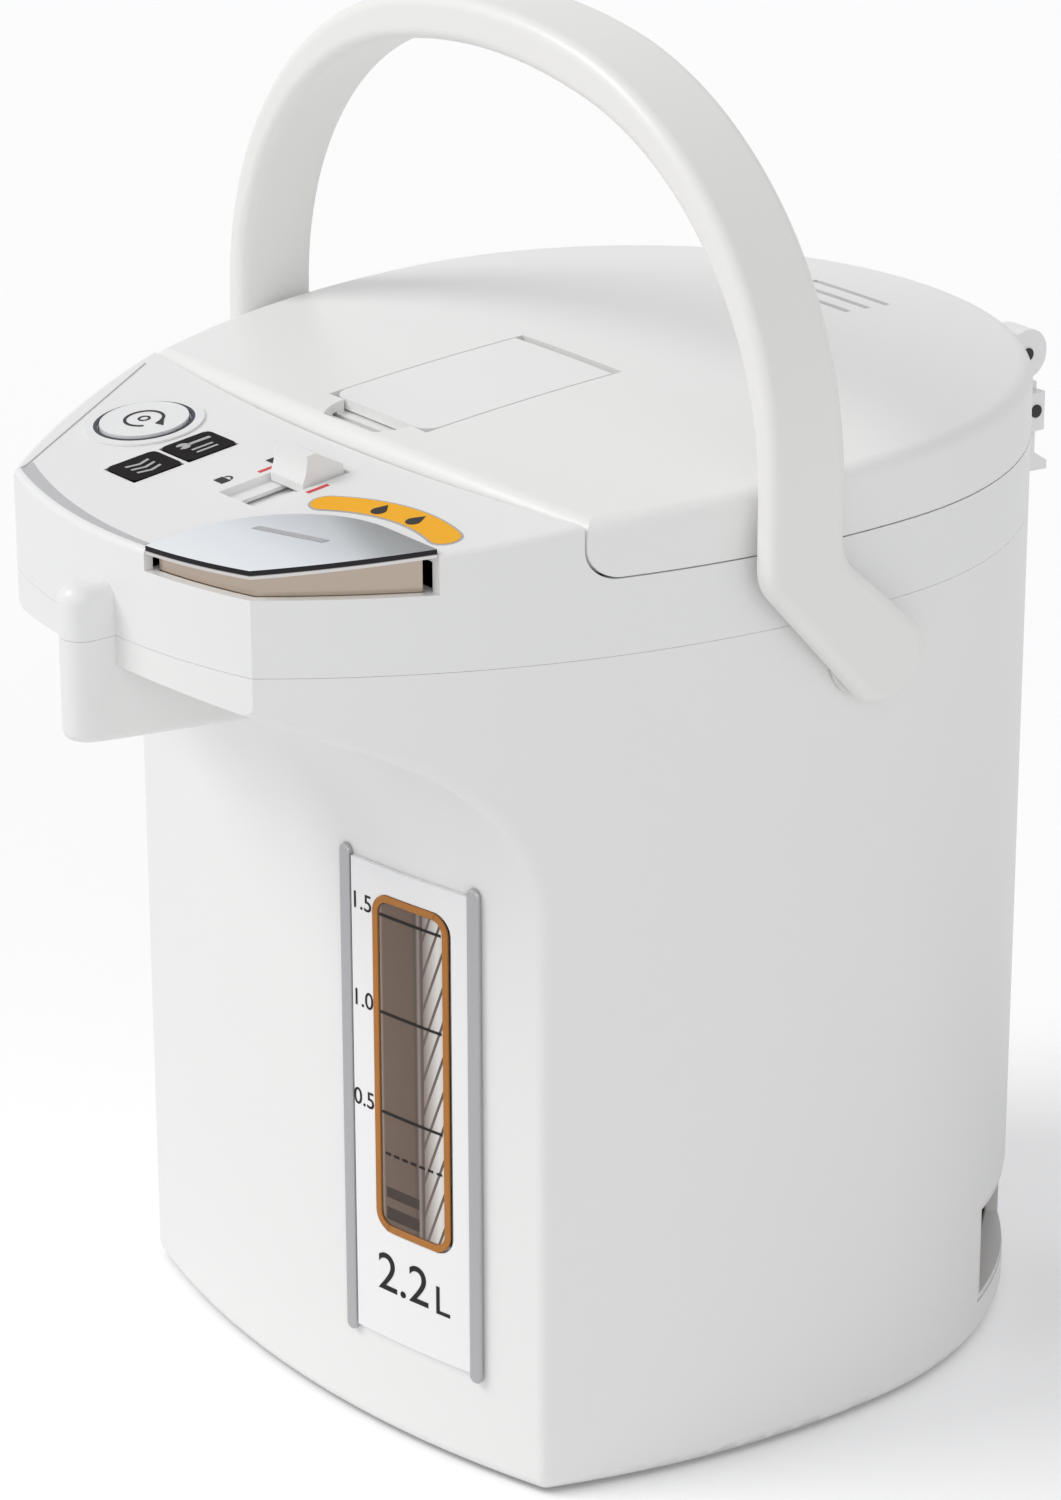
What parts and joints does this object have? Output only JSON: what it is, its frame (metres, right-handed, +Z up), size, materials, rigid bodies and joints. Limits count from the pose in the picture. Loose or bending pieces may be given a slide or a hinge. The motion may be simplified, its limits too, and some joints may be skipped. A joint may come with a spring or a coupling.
{
  "type": "electric thermo pot",
  "caption": "Electric thermo pot with a water gauge, a beak with a dispensing key and spout, a hinged lid and a swinging carrying handle.",
  "frame": {"origin": "centre of the whole object's box, on the surface that the pot stands on", "axes": "+Z up, -Y the front with the spout, +X the right side seen from the front"},
  "size_m": [0.228, 0.3048, 0.3672],
  "materials": {
    "body_white": "semi-gloss moulded white",
    "deck_white": "semi-gloss moulded white",
    "lid_white": "semi-gloss moulded white",
    "handle_white": "semi-gloss moulded white",
    "label_white": "glossy printed label",
    "silver_trim": "metallic paint",
    "amber_print": "printed amber frame",
    "smoked_window": "smoked clear plastic",
    "clear_tube": "clear glass",
    "stainless": "drawn stainless steel",
    "foil": "rolled sheet",
    "heater_plate": "cast aluminium",
    "chrome": "bright plated",
    "black_plastic": "matt moulded black",
    "dark_lens": "gloss dark lens",
    "blue_black": "gloss printed ring",
    "grey_button": "semi-gloss moulded",
    "rubber": "matt rubber",
    "silicone": "translucent silicone",
    "copper": "bare copper alloy",
    "screw_steel": "zinc plated",
    "board_green": "coated circuit board",
    "motor_steel": "pressed steel can",
    "magnet": "sintered magnet"
  },
  "bodies": {
    "casing": {"main_casing": "body_white", "bottom_cover": "black_plastic", "rubber_feet": "rubber", "base_screws": "screw_steel", "socket_recess": "body_white", "socket_insulator": "black_plastic", "socket_contacts": "copper", "gauge_plate": "label_white", "gauge_trims": "silver_trim", "window_ring": "amber_print", "gauge_window": "smoked_window", "inner_vessel": "stainless", "heater_plate": "heater_plate", "thermostat": "motor_steel", "insulation_sleeve": "foil", "pump_housing": "black_plastic", "pump_motor": "motor_steel", "inlet_hose": "silicone", "delivery_hose": "silicone", "gauge_tube": "clear_tube", "gauge_sleeve": "silicone", "outlet_pipe": "silicone", "spout_housing": "body_white", "spout_cap": "deck_white", "shoulder_ring": "deck_white", "indicator_lenses": "dark_lens", "button_ring": "blue_black", "key_spring": "screw_steel", "control_board": "board_green", "button_switch": "black_plastic", "hinge_bracket": "deck_white", "hinge_pin": "screw_steel", "release_pin": "screw_steel", "handle_pivots": "black_plastic"},
    "lid": {"lid_top": "lid_white", "steam_valve_box": "silicone", "lid_bottom": "lid_white", "lid_screws": "screw_steel", "inner_lid": "stainless", "lid_gasket": "silicone", "inner_lid_screw": "screw_steel", "lever_pin": "screw_steel", "latch_guide": "lid_white", "latch_spring": "screw_steel"},
    "lever": {"lid_lever": "lid_white"},
    "latch": {"lid_latch": "grey_button"},
    "steam_ball": {"steam_valve_ball": "stainless"},
    "rotor": {"drive_magnet": "magnet"},
    "impeller": {"pump_impeller": "grey_button"},
    "button": {"reboil_button": "grey_button"},
    "slider": {"lock_slider": "grey_button"},
    "key": {"key_plate": "chrome", "key_skirt": "chrome"},
    "release": {"release_lever": "deck_white"},
    "handle": {"handle": "handle_white"}
  },
  "joints": [
    {"name": "lid_hinge", "type": "hinge", "parent": "casing", "child": "lid", "pos_m": [0, 0.1426, 0.2515], "axis": [-1, 0, 0], "range_deg": [0, 7]},
    {"name": "lever_hinge", "type": "hinge", "parent": "lid", "child": "lever", "pos_m": [0, 0.0022, 0.2668], "axis": [-1, 0, 0], "range_deg": [0, 35], "stiffness_Nm_per_rad": 0.05, "springref_deg": -8.59},
    {"name": "latch_slide", "type": "slide", "parent": "lid", "child": "latch", "axis": [0, 1, 0], "range_m": [0, 0.004], "deforming": ["latch_spring"]},
    {"name": "steam_ball_lift", "type": "slide", "parent": "lid", "child": "steam_ball", "axis": [0, 0, 1], "range_m": [0, 0.003]},
    {"name": "key_press", "type": "slide", "parent": "casing", "child": "key", "axis": [0, 0, -1], "range_m": [0, 0.003], "stiffness_N_per_m": 300, "springref_m": -0.004, "deforming": ["key_spring"]},
    {"name": "lock_slide", "type": "slide", "parent": "casing", "child": "slider", "axis": [0, -0.9937, -0.1123], "range_m": [0, 0.012]},
    {"name": "button_press", "type": "slide", "parent": "casing", "child": "button", "axis": [0, 0, -1], "range_m": [0, 0.0008], "stiffness_N_per_m": 400, "springref_m": -0.0006},
    {"name": "release_hinge", "type": "hinge", "parent": "casing", "child": "release", "pos_m": [0, 0.1448, 0.2354], "axis": [-1, 0, 0], "range_deg": [0, 12], "stiffness_Nm_per_rad": 0.2, "springref_deg": -5.73},
    {"name": "handle_swing", "type": "hinge", "parent": "casing", "child": "handle", "pos_m": [0, 0.017, 0.218], "axis": [-1, 0, 0], "range_deg": [-50, 75]},
    {"name": "pump_spin", "type": "hinge", "parent": "casing", "child": "rotor", "pos_m": [0, -0.035, 0.028], "axis": [0, 0, 1], "continuous": true},
    {"name": "impeller_spin", "type": "hinge", "parent": "casing", "child": "impeller", "pos_m": [0, -0.035, 0.038], "axis": [0, 0, 1], "continuous": true}
  ],
  "couplings": [
    {"joint": "latch_slide", "follows": "lever_hinge", "m_per_rad": 0.0065},
    {"joint": "impeller_spin", "follows": "pump_spin", "ratio": 1}
  ]
}
